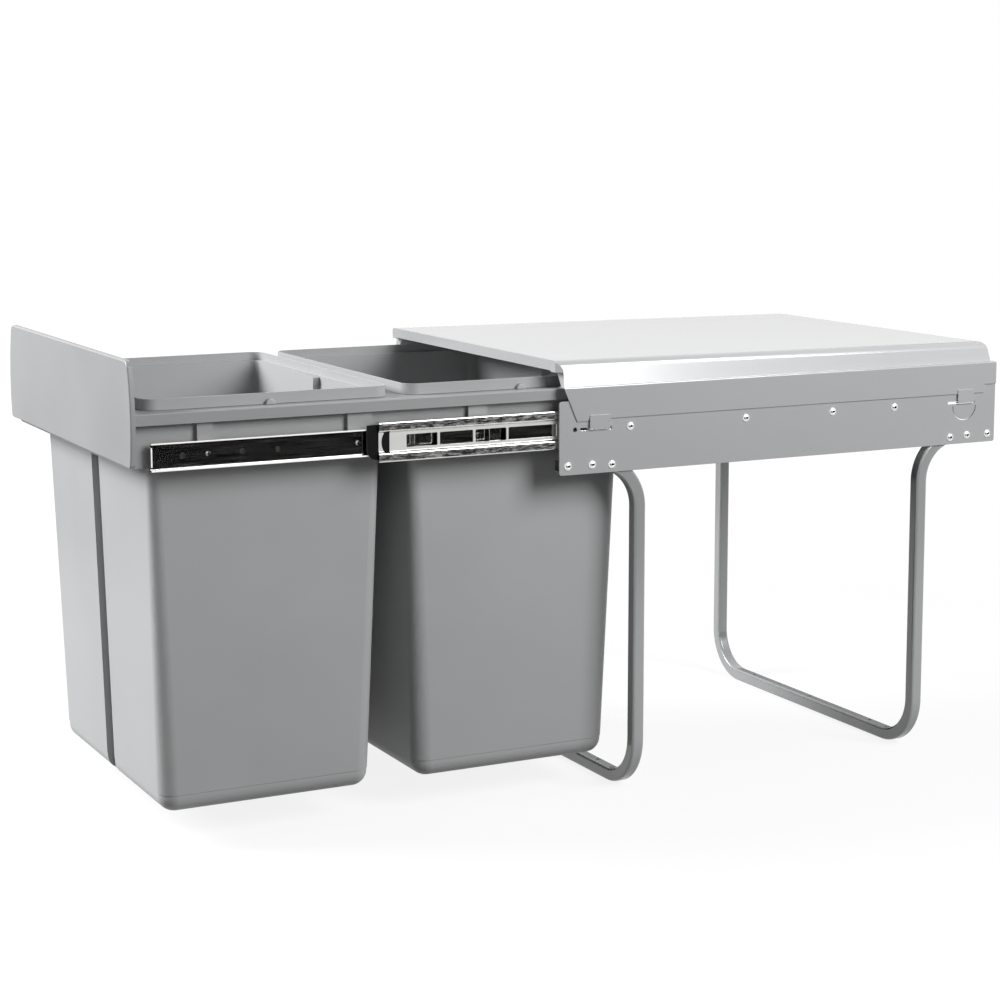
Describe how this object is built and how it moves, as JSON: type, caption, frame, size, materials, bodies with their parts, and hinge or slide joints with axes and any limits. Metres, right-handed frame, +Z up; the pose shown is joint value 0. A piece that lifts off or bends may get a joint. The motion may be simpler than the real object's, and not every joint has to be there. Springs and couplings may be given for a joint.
{
  "type": "pull out bin frame",
  "caption": "Pull-out bin frame for a base cabinet: hooded steel frame on bent tube legs, telescopic ball slides, and a tray with a front panel that holds lift-out bins.",
  "frame": {"origin": "on the cabinet floor, at the centre of the four outer floor screws of the legs", "axes": "+Z up, -Y the way the bins are pulled out, +X the side nearest the camera in the picture"},
  "size_m": [0.3692, 0.8699, 0.4199],
  "materials": {
    "frame_steel": "satin silver powder coat",
    "leg_steel": "satin silver powder coat",
    "rivet": "bright",
    "zinc": "bright zinc plate",
    "cage_steel": "bright zinc plate",
    "ball_steel": "polished",
    "screw_steel": "bright zinc plate",
    "black_plastic": "satin",
    "tray_plastic": "satin",
    "panel_plastic": "satin",
    "bin_plastic": "satin"
  },
  "bodies": {
    "cabinet_frame": {"side_plate_right": "frame_steel", "side_plate_left": "frame_steel", "hood_lid": "frame_steel", "front_leg": "leg_steel", "rear_leg": "leg_steel", "leg_rivets": "rivet", "slide_rivets": "rivet", "slide_outer_right": "zinc", "slide_outer_left": "zinc"},
    "carrier": {"carrier_tray": "tray_plastic", "front_panel": "panel_plastic", "panel_screws": "screw_steel", "slide_screws": "screw_steel", "slide_inner_right": "zinc", "slide_inner_left": "zinc"},
    "front_bin": {"front_bin": "bin_plastic"},
    "rear_bin": {"rear_bin": "bin_plastic"},
    "mid_right": {"slide_mid_right": "zinc", "mid_bumper_right": "black_plastic"},
    "outer_cage_right": {"outer_cage_right": "cage_steel", "outer_balls_right": "ball_steel"},
    "inner_cage_right": {"inner_cage_right": "cage_steel", "inner_balls_right": "ball_steel"},
    "mid_left": {"slide_mid_left": "zinc", "mid_bumper_left": "black_plastic"},
    "outer_cage_left": {"outer_cage_left": "cage_steel", "outer_balls_left": "ball_steel"},
    "inner_cage_left": {"inner_cage_left": "cage_steel", "inner_balls_left": "ball_steel"}
  },
  "joints": [
    {"name": "drawer_slide", "type": "slide", "parent": "cabinet_frame", "child": "carrier", "axis": [0, 1, 0], "range_m": [0, 0.385]},
    {"name": "front_bin_lift", "type": "slide", "parent": "carrier", "child": "front_bin", "axis": [0, 0, 1], "range_m": [0, 0.005]},
    {"name": "rear_bin_lift", "type": "slide", "parent": "carrier", "child": "rear_bin", "axis": [0, 0, 1], "range_m": [0, 0.005]},
    {"name": "mid_right_slide", "type": "slide", "parent": "cabinet_frame", "child": "mid_right", "axis": [0, 1, 0], "range_m": [0, 0.1925]},
    {"name": "outer_cage_right_slide", "type": "slide", "parent": "cabinet_frame", "child": "outer_cage_right", "axis": [0, 1, 0], "range_m": [0, 0.09625]},
    {"name": "inner_cage_right_slide", "type": "slide", "parent": "cabinet_frame", "child": "inner_cage_right", "axis": [0, 1, 0], "range_m": [0, 0.28875]},
    {"name": "mid_left_slide", "type": "slide", "parent": "cabinet_frame", "child": "mid_left", "axis": [0, 1, 0], "range_m": [0, 0.1925]},
    {"name": "outer_cage_left_slide", "type": "slide", "parent": "cabinet_frame", "child": "outer_cage_left", "axis": [0, 1, 0], "range_m": [0, 0.09625]},
    {"name": "inner_cage_left_slide", "type": "slide", "parent": "cabinet_frame", "child": "inner_cage_left", "axis": [0, 1, 0], "range_m": [0, 0.28875]}
  ],
  "couplings": [
    {"joint": "mid_right_slide", "follows": "drawer_slide", "ratio": 0.5},
    {"joint": "outer_cage_right_slide", "follows": "drawer_slide", "ratio": 0.25},
    {"joint": "inner_cage_right_slide", "follows": "drawer_slide", "ratio": 0.75},
    {"joint": "mid_left_slide", "follows": "drawer_slide", "ratio": 0.5},
    {"joint": "outer_cage_left_slide", "follows": "drawer_slide", "ratio": 0.25},
    {"joint": "inner_cage_left_slide", "follows": "drawer_slide", "ratio": 0.75}
  ]
}
